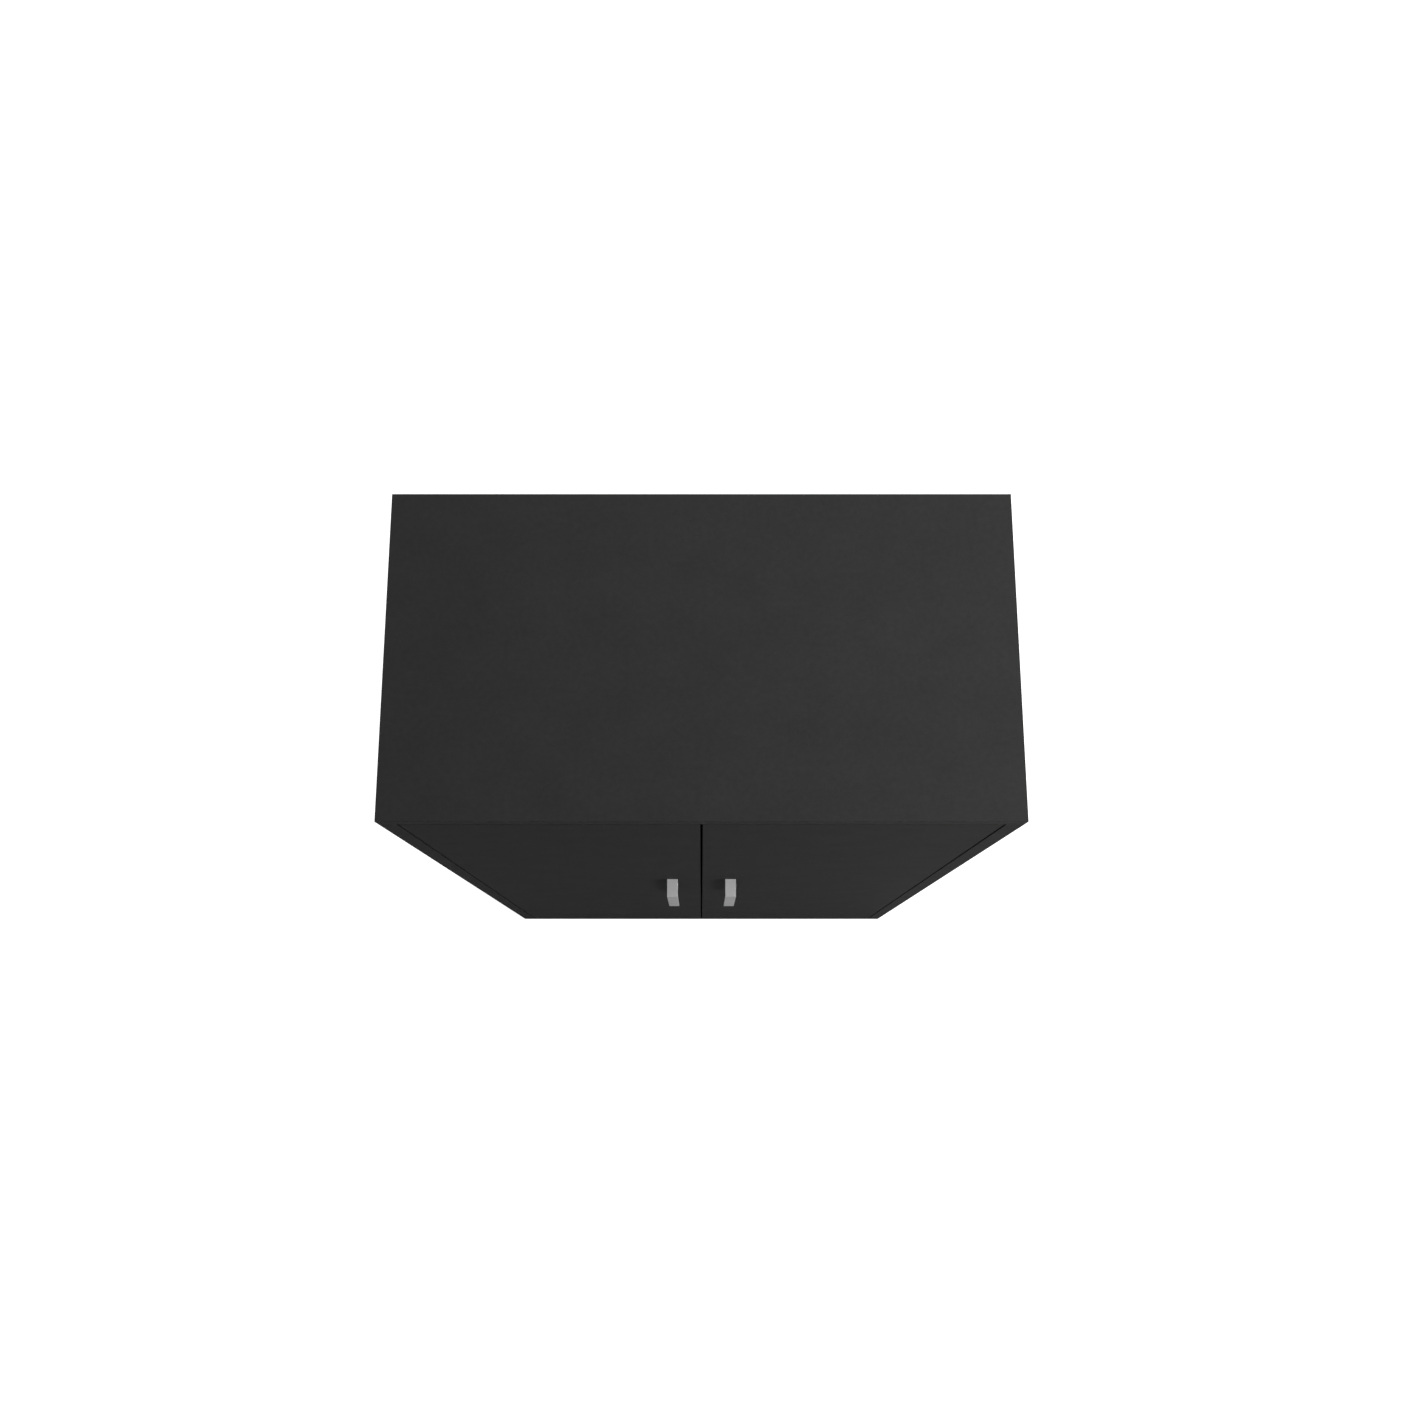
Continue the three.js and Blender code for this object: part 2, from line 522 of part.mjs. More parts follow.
// ---- Both halves ----
for (const [side, mirror] of [["left", 1], ["right", -1]]) {
  const half = new THREE.Group();
  half.scale.x = mirror;
  wardrobe.add(half);

  add(half, `${side}_side_panel`, blackBoard, sidePanel());
  add(half, `${side}_back_panel`, hardboard, backPanel());
  add(half, `${side}_rail_socket`, nickelSteel, railSocket());
  add(half, `${side}_anti_tip_bracket`, nickelSteel, antiTipBracket());
  add(half, `${side}_magnet`, magnetGrey, magnet());
  add(half, `${side}_front_glide`, blackPlastic, glide(FRONT + GLIDE.inset));
  add(half, `${side}_rear_glide`, blackPlastic, glide(REAR - GLIDE.inset));
  for (const [place, y] of Object.entries(SHELF_PINS_Y)) {
    add(half, `${side}_${place}_shelf_pin`, nickelSteel, shelfPin(y));
  }

  add(half, `${side}_door`, blackBoard, door());
  add(half, `${side}_handle`, satinGrey, handle());
  add(half, `${side}_strike_plate`, nickelSteel, strikePlate());
  for (const [place, z] of Object.entries(HANDLE_SCREWS_Z)) {
    add(half, `${side}_${place}_handle_screw`, nickelSteel, handleScrew(z));
  }

  for (const [place, z] of Object.entries(HINGES_Z)) {
    const hinge = new THREE.Group();
    hinge.position.set(-SIDE_INNER, FRONT, z);
    half.add(hinge);
    add(hinge, `${side}_${place}_hinge_cup`, nickelSteel, hingeCup());
    add(hinge, `${side}_${place}_hinge_pin`, nickelSteel, hingePin());
    add(hinge, `${side}_${place}_hinge_arm`, nickelSteel, hingeArm());
    add(hinge, `${side}_${place}_hinge_plate`, nickelSteel, hingePlate());
  }
}

export default wardrobe;
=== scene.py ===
"""Looks of the wardrobe with two flush doors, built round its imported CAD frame.

Metres, +Z up, front towards -Y. Each piece is placed from the boxes of the CAD's nodes.
"""

import json
import math

import bmesh
import bpy
from mathutils import Matrix, Vector


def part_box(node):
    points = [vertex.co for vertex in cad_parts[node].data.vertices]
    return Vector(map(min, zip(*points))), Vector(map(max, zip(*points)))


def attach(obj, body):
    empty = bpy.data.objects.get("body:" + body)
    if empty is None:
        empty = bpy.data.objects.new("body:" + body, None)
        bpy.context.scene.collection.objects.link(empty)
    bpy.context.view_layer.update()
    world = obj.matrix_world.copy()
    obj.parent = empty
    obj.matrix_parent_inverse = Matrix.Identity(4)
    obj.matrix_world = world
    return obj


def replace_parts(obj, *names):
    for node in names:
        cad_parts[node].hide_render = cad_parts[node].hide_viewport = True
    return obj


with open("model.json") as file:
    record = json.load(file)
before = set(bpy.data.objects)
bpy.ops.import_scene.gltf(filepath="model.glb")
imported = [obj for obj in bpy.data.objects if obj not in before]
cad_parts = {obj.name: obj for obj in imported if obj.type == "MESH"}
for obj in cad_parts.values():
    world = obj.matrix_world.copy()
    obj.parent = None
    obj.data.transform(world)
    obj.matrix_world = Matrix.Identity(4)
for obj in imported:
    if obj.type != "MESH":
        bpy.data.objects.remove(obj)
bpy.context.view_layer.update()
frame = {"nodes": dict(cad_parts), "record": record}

MM = 0.001
X, Y, Z = range(3)
SIDES = {"left": -1, "right": 1}
HINGES = ("lower", "middle", "upper")
BODY = {"left": "left_leaf", "right": "right_leaf"}
REARWARD = (0, 1, 0)
DOWNWARD = (0, 0, -1)

# ---- Places, from the frame ----
(_, FRONT, CEILING), (_, REAR, TOP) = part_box("top_panel")
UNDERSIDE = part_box("bottom_panel")[0].z
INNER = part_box("bottom_panel")[1].x  # from the middle to a side panel's inner face
DOOR_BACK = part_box("right_door")[1].y
BACK_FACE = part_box("right_back_panel")[0].y


def middle(node):
    low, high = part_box(node)
    return (low + high) / 2


# ---- Camera, lights and floor ----
# Metres and watts.
LIGHTS = {
    "key_light": {"place": (2.2, -0.55, 3.4), "aim": (0, 0, 1.6), "size": 1.0, "power": 86},
    "front_light": {"place": (2.0, -3.2, 1.3), "aim": (0, -0.2, 0.9), "size": 2.0, "power": 39},
    "left_light": {"place": (-3.2, 0.5, 2.0), "aim": (0, 0, 0.9), "size": 2.2, "power": 20},
    "rear_light": {"place": (0.7, 4.0, 3.0), "aim": (0, 0.2, 0.9), "size": 2.2, "power": 178},
}
PAPER = 0.97  # strength of the white room as the camera sees it
AMBIENT = 0.07  # and as light on the object
FLOOR_GLOW = 0.93  # strength of the floor as the camera sees it
FLOOR_REACH = 30


def make_camera():
    """From just in front of the doors and high above, looking steeply down."""
    before_doors = 0.2818
    above_top = 1.9127
    look_down = math.radians(76.71)
    data = bpy.data.cameras.new("camera")
    data.sensor_width = 36
    data.lens = 35.94
    camera = bpy.data.objects.new("camera", data)
    camera.location = (0, FRONT - before_doors, TOP + above_top)
    camera.rotation_euler = (math.pi / 2 - look_down, 0, 0)
    bpy.context.scene.collection.objects.link(camera)
    bpy.context.scene.camera = camera


def soft_light(name, place, aim, size, power):
    """A round light, hidden from the camera."""
    data = bpy.data.lights.new(name, "AREA")
    data.shape = "DISK"
    data.size = size
    data.energy = power
    light = bpy.data.objects.new(name, data)
    light.location = place
    light.rotation_euler = (Vector(aim) - Vector(place)).to_track_quat("-Z", "Y").to_euler()
    light.visible_camera = False
    bpy.context.scene.collection.objects.link(light)


def camera_ray_strength(tree, seen, otherwise):
    """A strength that is one number to the camera and another as light on the object."""
    ray = tree.nodes.new("ShaderNodeLightPath")
    strength = tree.nodes.new("ShaderNodeMapRange")
    strength.inputs["To Min"].default_value = otherwise
    strength.inputs["To Max"].default_value = seen
    tree.links.new(ray.outputs["Is Camera Ray"], strength.inputs["Value"])
    return strength.outputs["Result"]


def make_studio():
    """Light from high on the right and from behind, with two fills, in a room white as paper."""
    for name, light in LIGHTS.items():
        soft_light(name, **light)
    world = bpy.data.worlds.new("studio")
    bpy.context.scene.world = world
    world.use_nodes = True
    tree = world.node_tree
    background = tree.nodes["Background"]
    background.inputs["Color"].default_value = (1, 1, 1, 1)
    tree.links.new(camera_ray_strength(tree, PAPER, AMBIENT), background.inputs["Strength"])
    bpy.context.scene.view_settings.view_transform = "Standard"


def make_floor():
    low, high = -FLOOR_REACH, FLOOR_REACH
    corners = [(low, low, 0), (high, low, 0), (high, high, 0), (low, high, 0)]
    mesh = bpy.data.meshes.new("floor")
    mesh.from_pydata(corners, [], [(0, 1, 2, 3)])
    floor = bpy.data.objects.new("floor", mesh)
    bpy.context.scene.collection.objects.link(floor)
    material = bpy.data.materials.new("pale_floor")
    material.use_nodes = True
    tree = material.node_tree
    shader = tree.nodes["Principled BSDF"]
    shader.inputs["Base Color"].default_value = (0.5, 0.5, 0.5, 1)
    shader.inputs["Roughness"].default_value = 0.9
    shader.inputs["Specular IOR Level"].default_value = 0.1
    shader.inputs["Emission Color"].default_value = (1, 1, 1, 1)
    tree.links.new(camera_ray_strength(tree, FLOOR_GLOW, 0.0), shader.inputs["Emission Strength"])
    mesh.materials.append(material)


# ---- Materials ----
NOISE_ROUGHNESS = 0.55
NOISE_RANGE = (0.3, 0.7)  # what noise mostly keeps to


class Shader:
    """A material in the making: each call adds one node and gives back what it puts out."""

    def __init__(self, name):
        self.material = bpy.data.materials.new(name)
        self.material.use_nodes = True
        self.tree = self.material.node_tree
        self.surface = self.tree.nodes["Principled BSDF"]
        self.place = self.node("ShaderNodeTexCoord").outputs["Object"]

    def feed(self, socket, value):
        if isinstance(value, bpy.types.NodeSocket):
            self.tree.links.new(value, socket)
        else:
            socket.default_value = value

    def node(self, kind, *values, operation=None, **inputs):
        """A node, with its first inputs in order and others by name."""
        made = self.tree.nodes.new(kind)
        if operation:
            made.operation = operation
        for i, value in enumerate(values):
            self.feed(made.inputs[i], value)
        for name, value in inputs.items():
            self.feed(made.inputs[name.replace("_", " ")], value)
        return made

    def math(self, operation, *values):
        return self.node("ShaderNodeMath", *values, operation=operation).outputs[0]

    def vector(self, operation, *values, **inputs):
        return self.node("ShaderNodeVectorMath", *values, operation=operation, **inputs).outputs["Vector"]

    def noise(self, size, detail=3.0, stretch=(1, 1, 1)):
        """Noise of 0 to 1, its largest grains about size across and longer along a stretched axis."""
        place = self.vector("DIVIDE", self.place, stretch)
        grains = {"Scale": 1 / size, "Detail": detail, "Roughness": NOISE_ROUGHNESS}
        return self.node("ShaderNodeTexNoise", Vector=place, **grains).outputs["Fac"]

    def spread(self, noise, low, high):
        """Low to high, over the usual range of noise."""
        return self.remap(noise, *NOISE_RANGE, low, high)

    def remap(self, value, start, end, low, high):
        made = self.node("ShaderNodeMapRange", value, start, end, low, high)
        return made.outputs["Result"]

    def tint(self, colour, *factors):
        """The colour, made lighter or darker by each factor."""
        for factor in factors:
            colour = self.vector("SCALE", colour, Scale=factor)
        return colour

    def bump(self, height, depth, **normal):
        return self.node("ShaderNodeBump", Height=height, Distance=depth, **normal).outputs["Normal"]

    def finish(self, **inputs):
        for name, value in inputs.items():
            self.feed(self.surface.inputs[name.replace("_", " ")], value)
        return self.material


BOARD_COLOUR = (0.03, 0.03, 0.03)
BANDING = 0.9 * MM  # thickness of the edge banding
BANDING_GLOSS = 0.06  # how much less rough it is than the faces
WEAR_RANGE = (0.5, 0.8)  # the noise over which banding goes from sound to rubbed
WORN_TONE = 1.25  # of banding that is rubbed, beside the rest of it
HAIRLINE = 0.12 * MM  # half the width of the joint beside the banding
HAIRLINE_TONE = 0.6
FAR = 10  # past any edge


def board_material(node, thin_axis, banding_and_shade_tone):
    """Matte charcoal melamine, with edge banding and the hairline where the banding ends. Each board's
    banding has its own tone, and the side panels' darkest tone is painted shade on their front edges.
    """
    low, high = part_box(node)
    reach = (high - low) / 2
    reach[thin_axis] += FAR  # so the two faces are no edge
    shader = Shader(f"{node}_board")
    offset = shader.vector("SUBTRACT", shader.place, (low + high) / 2)
    inset = shader.vector("SUBTRACT", reach, shader.vector("ABSOLUTE", offset))
    x, y, z = shader.node("ShaderNodeSeparateXYZ", inset).outputs
    edge = shader.math("MINIMUM", shader.math("MINIMUM", x, y), z)
    banding = shader.math("LESS_THAN", edge, BANDING)
    hairline = shader.math("COMPARE", edge, BANDING, HAIRLINE)

    cloud = shader.noise(60 * MM, 4)
    mottle = shader.noise(8.5 * MM, 3)
    skin = shader.noise(1.6 * MM, 2)
    grain = shader.noise(0.35 * MM, 1)
    wear = shader.math("MULTIPLY", banding, shader.noise(14 * MM, 3))
    colour = shader.tint(
        BOARD_COLOUR,
        shader.spread(cloud, 0.95, 1.05),
        shader.spread(mottle, 0.945, 1.055),
        shader.spread(skin, 0.97, 1.03),
        # Banding tone, which on the side panels is partly painted shade
        shader.remap(banding, 0, 1, 1, banding_and_shade_tone),
        shader.remap(hairline, 0, 1, 1, HAIRLINE_TONE),
        shader.remap(wear, *WEAR_RANGE, 1, WORN_TONE),
    )
    gloss = shader.math("MULTIPLY", banding, BANDING_GLOSS)
    fine = shader.bump(grain, 0.03 * MM)
    return shader.finish(
        Base_Color=colour,
        Roughness=shader.math("SUBTRACT", shader.spread(cloud, 0.66, 0.72), gloss),
        Specular_IOR_Level=0.05,
        Normal=shader.bump(skin, 0.05 * MM, Normal=fine),
    )


def hardboard_material():
    """Pressed fibre board painted black, matted and flecked."""
    shader = Shader("hardboard")
    fibre = shader.noise(5 * MM, 5, (1, 1, 2.5))
    fleck = shader.noise(1.2 * MM, 3)
    tones = shader.spread(fibre, 0.75, 1.25), shader.spread(fleck, 0.85, 1.15)
    return shader.finish(
        Base_Color=shader.tint((0.034, 0.032, 0.030), *tones),
        Roughness=shader.spread(fibre, 0.7, 0.85),
        Specular_IOR_Level=0.2,
        Normal=shader.bump(fleck, 0.08 * MM),
    )


def handle_material():
    """Satin grey bar, brushed along its length."""
    shader = Shader("handle_metal")
    brushing = shader.noise(0.5 * MM, 3, (1, 1, 60))
    cloud = shader.noise(30 * MM, 2)
    tones = shader.spread(brushing, 0.95, 1.05), shader.spread(cloud, 0.98, 1.02)
    return shader.finish(
        Base_Color=shader.tint((0.55, 0.55, 0.55), *tones),
        Metallic=0.15,
        Roughness=shader.spread(brushing, 0.42, 0.55),
        Normal=shader.bump(brushing, 0.01 * MM),
    )


def nickel_material():
    """Nickel-plated pressed steel with faint rolling marks."""
    shader = Shader("nickel_steel")
    rolling = shader.noise(0.8 * MM, 3, (1, 12, 1))
    stain = shader.noise(12 * MM, 3)
    tones = shader.spread(rolling, 0.93, 1.05), shader.spread(stain, 0.92, 1.04)
    return shader.finish(
        Base_Color=shader.tint((0.66, 0.65, 0.63), *tones),
        Metallic=1.0,
        Roughness=shader.spread(stain, 0.24, 0.4),
        Normal=shader.bump(rolling, 0.01 * MM),
    )


def zinc_material():
    """Cast zinc, dull and pitted."""
    shader = Shader("cast_zinc")
    pits = shader.noise(0.7 * MM, 3)
    cloud = shader.noise(6 * MM, 2)
    tones = shader.spread(pits, 0.85, 1.08), shader.spread(cloud, 0.9, 1.05)
    return shader.finish(
        Base_Color=shader.tint((0.42, 0.42, 0.41), *tones),
        Metallic=0.9,
        Roughness=shader.spread(pits, 0.5, 0.66),
        Normal=shader.bump(pits, 0.04 * MM),
    )


def chrome_material():
    """Bright chrome with the scuffs that hangers leave."""
    shader = Shader("rail_chrome")
    scuff = shader.noise(0.7 * MM, 2, (1, 14, 1))
    haze = shader.noise(60 * MM, 3)
    scuffed = shader.remap(scuff, 0.55, 0.8, 0, 0.1)
    roughness = shader.math("ADD", shader.spread(haze, 0.06, 0.14), scuffed)
    return shader.finish(
        Base_Color=shader.tint((0.78, 0.78, 0.79), shader.spread(haze, 0.96, 1.0)),
        Metallic=1.0,
        Roughness=roughness,
    )


def plastic_material():
    """Moulded black plastic with a fine spark-eroded grain."""
    shader = Shader("black_plastic")
    grain = shader.noise(0.5 * MM, 2)
    cloud = shader.noise(20 * MM, 2)
    return shader.finish(
        Base_Color=shader.tint((0.022, 0.022, 0.023), shader.spread(cloud, 0.9, 1.1)),
        Roughness=shader.spread(grain, 0.45, 0.6),
        Normal=shader.bump(grain, 0.04 * MM),
    )


def ferrite_material():
    """Ground ferrite magnet, dark grey with grinding lines."""
    shader = Shader("magnet_ferrite")
    lines = shader.noise(0.4 * MM, 3, (10, 1, 1))
    return shader.finish(
        Base_Color=shader.tint((0.07, 0.07, 0.075), shader.spread(lines, 0.8, 1.2)),
        Metallic=0.4,
        Roughness=shader.spread(lines, 0.4, 0.6),
    )


# ---- CAD nodes: small rounded edges and detailed materials ----
WELD_DISTANCE = 0.01 * MM
FLAT_ANGLE = math.radians(0.5)  # faces that meet at less than this are one flat face
ROUNDED_ANGLE = math.radians(40)  # edges that turn further than this are rounded


def dress(node, material, edge_radius):
    """Shows a CAD node in its material, its triangles joined into flat faces and its edges rounded."""
    shown = frame["nodes"][node]
    shown.data.materials.clear()
    shown.data.materials.append(material)
    weld = shown.modifiers.new("weld", "WELD")
    weld.merge_threshold = WELD_DISTANCE
    flatten = shown.modifiers.new("flatten", "DECIMATE")
    flatten.decimate_type = "DISSOLVE"
    flatten.angle_limit = FLAT_ANGLE
    edges = shown.modifiers.new("edges", "BEVEL")
    edges.width = edge_radius
    edges.segments = 2
    edges.limit_method = "ANGLE"
    edges.angle_limit = ROUNDED_ANGLE
    even = shown.modifiers.new("even", "WEIGHTED_NORMAL")
    even.keep_sharp = True


# Each board's thin axis, and how light its banding is beside its faces. The side panels' darker banding
# is painted shade on their front edges, not banding of another colour.
BOARDS = {
    "top_panel": (Z, 0.95),
    "bottom_panel": (Z, 0.95),
    "hat_shelf": (Z, 0.95),
    "left_side_panel": (X, 0.75),
    "right_side_panel": (X, 0.75),
    "left_door": (Y, 0.9),
    "right_door": (Y, 0.9),
}
EDGE_RADII = {
    "black_board": 0.2 * MM,
    "black_hardboard": 0.2 * MM,
    "handle_grey": 0.5 * MM,
    "nickel_steel": 0.15 * MM,
    "rail_chrome": 0.2 * MM,
    "black_plastic": 0.25 * MM,
    "magnet_ferrite": 0.2 * MM,
}


def dress_nodes(finishes):
    for part in frame["record"]["subparts"]:
        node, slot = part["node"], part["material_slot"]
        material = board_material(node, *BOARDS[node]) if node in BOARDS else finishes[slot]
        dress(node, material, EDGE_RADII[slot])


# ---- Fasteners, which the CAD leaves out or keeps plain ----
SMOOTH_ANGLE = math.radians(38)  # an edge that turns further than this stays sharp

# Millimetres. The rim is the head's upright edge, and the slot and depth are its cross recess's. The
# shank is its radius and length.
FASTENERS = {
    "cup_screw": dict(radius=3.4, rim=0.3, dome=0.9, slot=0.8, depth=0.9, shank=(1.8, 1.2)),
    "plate_screw": dict(radius=3.7, rim=0.3, dome=1.0, slot=0.9, depth=1.0, shank=(2.0, 2.0)),
    "arm_screw": dict(radius=3.3, rim=0.5, dome=0.5, slot=0.9, depth=0.8, shank=(2.0, 2.4)),
    "small_screw": dict(radius=2.8, rim=0.2, dome=0.6, slot=0.7, depth=0.6, shank=(1.6, 0.8)),
    "bracket_screw": dict(radius=4.2, rim=0.4, dome=1.1, slot=1.0, depth=1.1, shank=(2.2, 2.0)),
    "handle_screw": dict(radius=4.5, rim=0.5, dome=1.7, slot=1.1, depth=1.5, shank=(2.0, 29.0)),
    "cam": dict(radius=7.5, rim=0.0, dome=0.05, slot=1.8, depth=2.4, shank=(7.4, 11.5)),
}


def pointing(place, out):
    """The frame of a fastener at a place on a surface, its z axis out of the surface."""
    return Matrix.Translation(place) @ Vector(out).to_track_quat("Z", "Y").to_matrix().to_4x4()


CROSS_REACH = 0.62  # how far the cross goes out, of the head's radius
CROWN = (0.85, 0.96, 1)  # rings of the head past the cross, of its radius
TIP_DEPTH = 1.1  # of the recess at its very middle, of its depth
LIP_SPREAD = 1.25  # the cross arms' width at their lips, of the slot's width
WIDEST_LIP = 0.95 * math.sin(math.pi / 4)  # so that two arms never meet


def add_ring(bm, place, radius, angles, heights):
    """Vertices round an axis, at each angle's own height."""
    return [
        bm.verts.new(place @ Vector((radius * math.cos(angle), radius * math.sin(angle), height)))
        for angle, height in zip(angles, heights)
    ]


def close_rings(bm, tip, rings):
    """Faces from a tip over each ring in turn, and across the last."""
    count = len(rings[0])
    following = [(i + 1) % count for i in range(count)]
    for i, j in enumerate(following):
        bm.faces.new((tip, rings[0][i], rings[0][j]))
        for inner, outer in zip(rings, rings[1:]):
            bm.faces.new((inner[i], outer[i], outer[j], inner[j]))
    bm.faces.new(rings[-1])


def cross_stations(radius, half_slot):
    """Angles round a ring that passes over a cross recess, and which of them are on its floor.

    Each arm has two on its floor and one at each lip, with three more between two arms."""
    lip = math.asin(min(LIP_SPREAD * half_slot / radius, WIDEST_LIP))
    gap = math.pi / 2 - 2 * lip
    arm = [(-lip, 0), (-lip / 2, 1), (lip / 2, 1), (lip, 0)]
    quarter = arm + [(lip + gap * i / 4, 0) for i in (1, 2, 3)]
    stations = [(q * math.pi / 2 + angle, low) for q in range(4) for angle, low in quarter]
    return zip(*stations)


def add_fastener(bm, place, radius, rim, dome, slot, depth, shank):
    """A round head with a cross recess above the surface, and its shank below."""
    half_slot = slot / 2
    reach = CROSS_REACH * radius
    # Radius and depth under the head's face, from the recess's middle out to the arms' ends.
    recess = [
        (1.6 * half_slot, depth),
        (0.7 * reach + 0.5 * half_slot, 0.8 * depth),
        (reach, 0.45 * depth),
        (1.12 * reach, 0),
    ]
    crown = [(share * radius, 0) for share in CROWN]
    rings = []
    for ring_radius, sunk in recess + crown:
        angles, lows = cross_stations(ring_radius, half_slot)
        height = rim + dome * (1 - (ring_radius / radius) ** 2)
        rings.append(add_ring(bm, place, ring_radius, angles, [height - low * sunk for low in lows]))
    shank_radius, shank_length = shank
    for ring_radius, height in ((radius, 0), (shank_radius, 0), (shank_radius, -shank_length)):
        rings.append(add_ring(bm, place, ring_radius, angles, [height] * len(angles)))
    tip = bm.verts.new(place @ Vector((0, 0, rim + dome - TIP_DEPTH * depth)))
    close_rings(bm, tip, rings)


NAIL_RADIUS = 2.3 * MM
NAIL_DOME = 0.8 * MM
NAIL_SINK = 0.1 * NAIL_DOME  # of its rim, under the surface
NAIL_SIDES = 14
NAIL_TURNS = (0.35, 0.75, 1.15, 1.5)  # radians from the dome's top to each of its rings


def add_nail(bm, place):
    """A nail's domed head, its rim just under the surface."""
    angles = [math.tau * i / NAIL_SIDES for i in range(NAIL_SIDES)]
    profile = [(NAIL_RADIUS * math.sin(turn), NAIL_DOME * math.cos(turn)) for turn in NAIL_TURNS]
    profile.append((NAIL_RADIUS, -NAIL_SINK))
    rings = [add_ring(bm, place, r, angles, [height] * NAIL_SIDES) for r, height in profile]
    close_rings(bm, bm.verts.new(place @ Vector((0, 0, NAIL_DOME))), rings)


def make_piece(name, bm, body, material):
    """One object from finished mesh code: faces turned outward, smooth but for its sharp edges."""
    bmesh.ops.recalc_face_normals(bm, faces=bm.faces)
    for face in bm.faces:
        face.smooth = True
    for edge in bm.edges:
        edge.smooth = edge.calc_face_angle(0) < SMOOTH_ANGLE
    mesh = bpy.data.meshes.new(name)
    bm.to_mesh(mesh)
    bm.free()
    piece = bpy.data.objects.new(name, mesh)
    bpy.context.scene.collection.objects.link(piece)
    mesh.materials.append(material)
    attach(piece, body)
    return piece


def fasten(name, kind, place, out, body, material):
    """One fastener of a kind, its head on the surface at a place."""
    bm = bmesh.new()
    add_fastener(bm, Matrix.Identity(4), **FASTENERS[kind])
    bm.transform(pointing(place, out) @ Matrix.Scale(MM, 4))
    return make_piece(name, bm, body, material)


ENDS = {"low": -1, "high": 1}
WING_RADIUS = 5.5 * MM  # of the hinge cups' and plates' screw wings
CUP_WING_OFFSET = 6 * MM  # from a cup's middle to its wings, away from the side panel
ARM_FACE = 9.7 * MM  # from the side panel to the hinge arm's broad face
ARM_SCREWS = {"front": 28 * MM, "rear": 8 * MM}  # from the arm's rear end
WALL_PLATE = 2 * MM  # thickness of hinge plates, rail sockets and brackets
SOCKET_SCREW_REACH = 23 * MM  # above and below the rail's axis
STRIKE_SCREW_RISE = 5 * MM  # from the strike plate's lower edge
CATCH_SCREW_OFFSET = 4 * MM  # from the catch's middle, between its magnets
BRACKET_SCREW_REACH = 12 * MM  # to each side of the bracket's middle
BRACKET_SCREW_DEPTH = 26 * MM  # from the back panels' inner face
CAM_FROM_EDGE = 70 * MM  # from the panels' front and rear edges
CAM_INSET = 34 * MM  # from the inner face of the board that the cam pulls
CAM_SINK = 0.3 * MM  # of the cam's rim, under the face round it


def fasten_hinges(side, sign, steel):
    """The screws of one door's three hinges: in the door, in the side panel and in the arms."""
    face = sign * INNER
    inward = (-sign, 0, 0)
    for level in HINGES:
        hinge = f"{side}_{level}"
        cup = middle(f"{hinge}_hinge_cup")
        cup_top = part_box(f"{hinge}_hinge_cup")[1]
        plate = middle(f"{hinge}_hinge_plate")
        plate_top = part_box(f"{hinge}_hinge_plate")[1]
        arm_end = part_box(f"{hinge}_hinge_arm")[1].y
        for end, step in ENDS.items():
            wing_z = cup.z + step * (cup_top.z - WING_RADIUS - cup.z)
            wing = (cup.x - sign * CUP_WING_OFFSET, cup_top.y, wing_z)
            fasten(f"{hinge}_cup_screw_{end}", "cup_screw", wing, REARWARD, BODY[side], steel)
            plate_z = plate.z + step * (plate_top.z - WING_RADIUS - plate.z)
            seat = (face - sign * WALL_PLATE, plate.y, plate_z)
            fasten(f"{hinge}_plate_screw_{end}", "plate_screw", seat, inward, "carcass", steel)
        for end, back in ARM_SCREWS.items():
            seat = (face - sign * ARM_FACE, arm_end - back, cup.z)
            fasten(f"{hinge}_arm_screw_{end}", "arm_screw", seat, inward, "carcass", steel)


def fasten_fittings(side, sign, steel):
    """The screws of one side's rail socket, strike plate, bracket and handle."""
    inward = (-sign, 0, 0)
    rail = middle("hanging_rail")
    for end, step in ENDS.items():
        seat = (sign * (INNER - WALL_PLATE), rail.y, rail.z + step * SOCKET_SCREW_REACH)
        fasten(f"{side}_rail_socket_screw_{end}", "plate_screw", seat, inward, "carcass", steel)

    strike_low, strike_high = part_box(f"{side}_strike_plate")
    strike_x = middle(f"{side}_strike_plate").x
    seat = (strike_x, strike_high.y, strike_low.z + STRIKE_SCREW_RISE)
    fasten(f"{side}_strike_screw", "small_screw", seat, REARWARD, BODY[side], steel)

    bracket_x = middle(f"{side}_anti_tip_bracket").x
    for end, step in (("inner", -1), ("outer", 1)):
        x = bracket_x + sign * step * BRACKET_SCREW_REACH
        seat = (x, BACK_FACE - BRACKET_SCREW_DEPTH, CEILING - WALL_PLATE)
        fasten(f"{side}_anti_tip_screw_{end}", "bracket_screw", seat, DOWNWARD, "carcass", steel)

    for end in ("lower", "upper"):
        node = f"{side}_{end}_handle_screw"
        plain = middle(node)
        seat = (plain.x, DOOR_BACK, plain.z)
        name = f"{node}_detailed"
        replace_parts(fasten(name, "handle_screw", seat, REARWARD, BODY[side], steel), node)


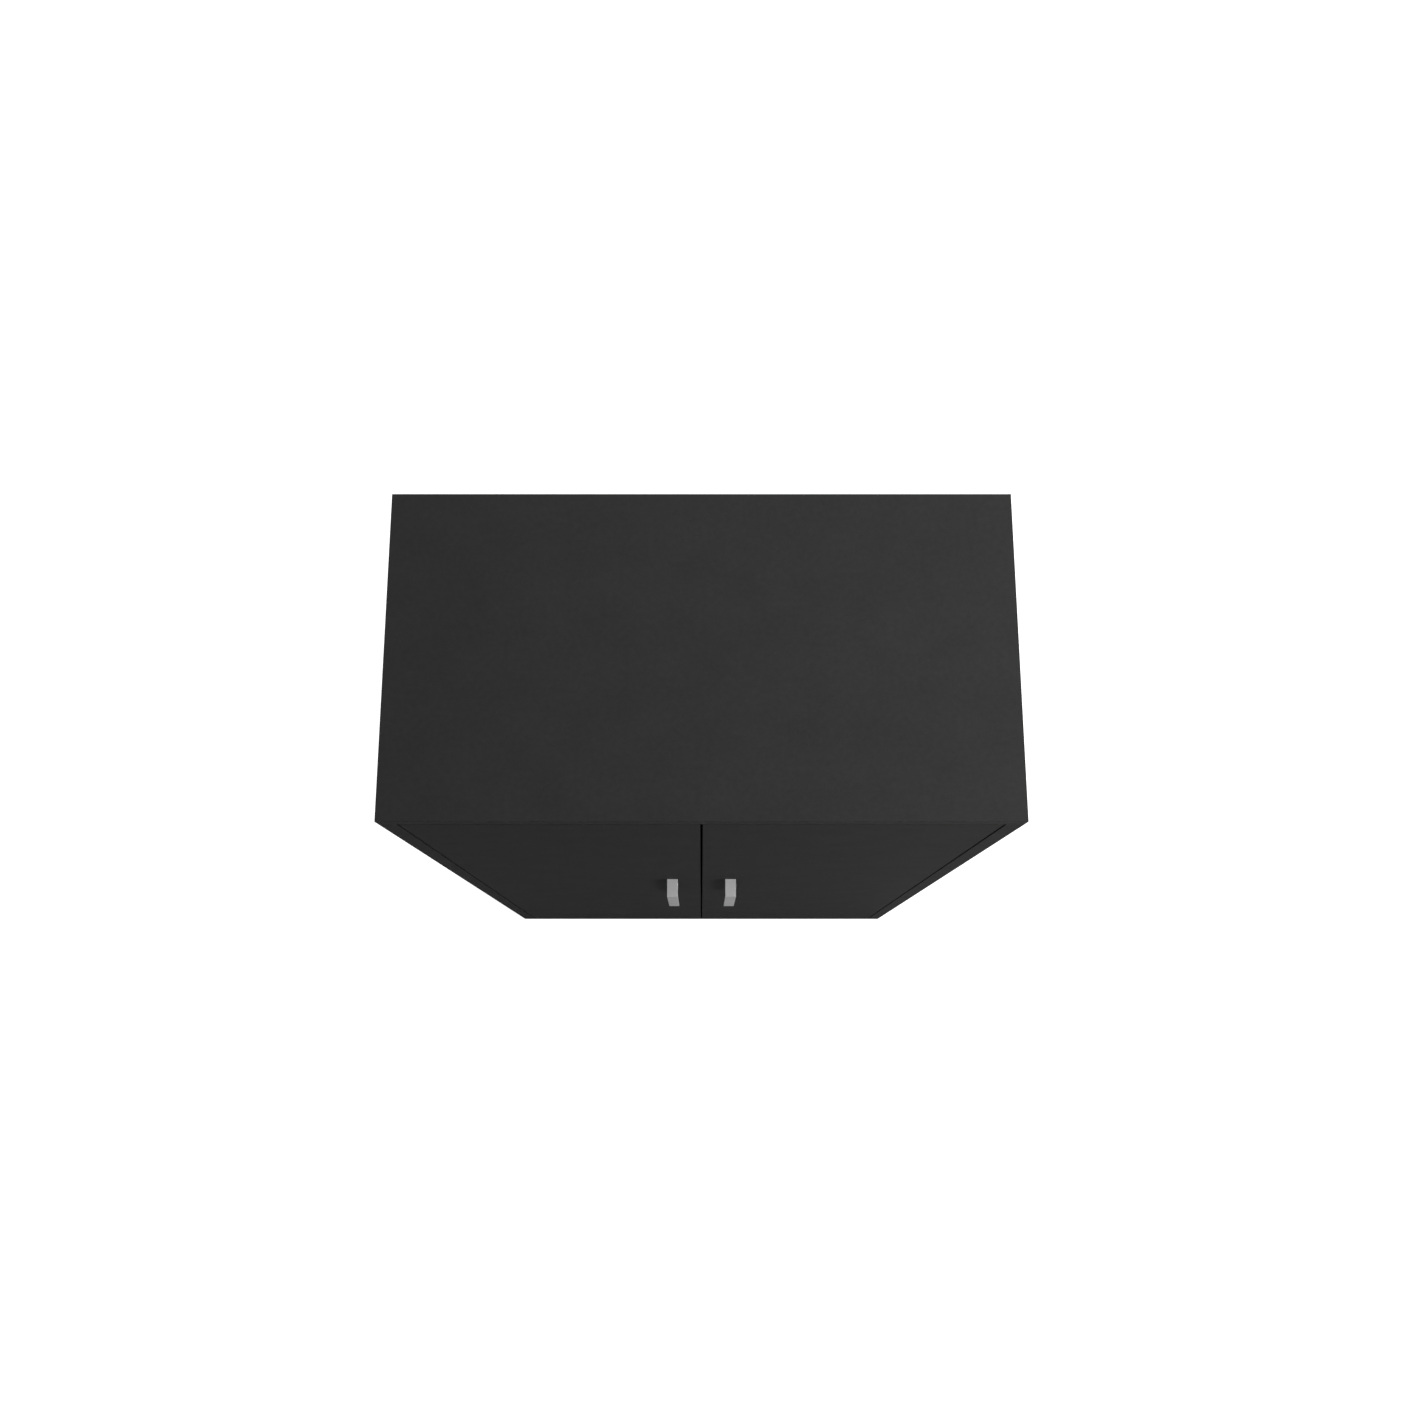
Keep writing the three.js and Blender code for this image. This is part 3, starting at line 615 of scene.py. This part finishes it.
def fasten_cams(side, sign, zinc):
    """The cam connectors that pull the top and bottom panels to one side panel."""
    for end, y in (("front", FRONT + CAM_FROM_EDGE), ("rear", REAR - CAM_FROM_EDGE)):
        upper = (sign * (INNER + CAM_SINK), y, CEILING - CAM_INSET)
        fasten(f"{side}_{end}_upper_cam", "cam", upper, (-sign, 0, 0), "carcass", zinc)
        lower = (sign * (INNER - CAM_INSET), y, UNDERSIDE + CAM_SINK)
        fasten(f"{side}_{end}_lower_cam", "cam", lower, DOWNWARD, "carcass", zinc)


def fasten_catch(steel):
    """The two screws that hold the catch up against the top panel."""
    catch = middle("catch_housing")
    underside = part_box("catch_housing")[0].z
    for side, sign in SIDES.items():
        seat = (catch.x + sign * CATCH_SCREW_OFFSET, catch.y, underside)
        fasten(f"{side}_catch_screw", "small_screw", seat, DOWNWARD, "carcass", steel)


def make_back_nails(side, sign, steel):
    """Nails round three edges of one back board, into the rabbet behind it."""
    low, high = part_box(f"{side}_back_panel")
    inset = 5 * MM
    clear_of_strip = 25 * MM
    rows = 12
    columns = 4
    centre = (low.x + high.x) / 2
    half = (high.x - low.x) / 2
    outer = centre + sign * (half - inset)
    inner = centre - sign * (half - clear_of_strip)
    bottom = low.z + inset
    top = high.z - inset
    spots = [(outer, bottom + (top - bottom) * i / (rows - 1)) for i in range(rows)]
    for i in range(1, columns):
        x = outer + (inner - outer) * i / (columns - 1)
        spots += [(x, bottom), (x, top)]
    bm = bmesh.new()
    for x, z in spots:
        add_nail(bm, pointing((x, high.y, z), REARWARD))
    make_piece(f"{side}_back_nails", bm, "carcass", steel)


make_camera()
make_studio()
make_floor()
FINISHES = {
    "black_hardboard": hardboard_material(),
    "handle_grey": handle_material(),
    "nickel_steel": nickel_material(),
    "rail_chrome": chrome_material(),
    "black_plastic": plastic_material(),
    "magnet_ferrite": ferrite_material(),
}
dress_nodes(FINISHES)
STEEL = FINISHES["nickel_steel"]
ZINC = zinc_material()
fasten_catch(STEEL)
for side, sign in SIDES.items():
    fasten_hinges(side, sign, STEEL)
    fasten_fittings(side, sign, STEEL)
    fasten_cams(side, sign, ZINC)
    make_back_nails(side, sign, STEEL)
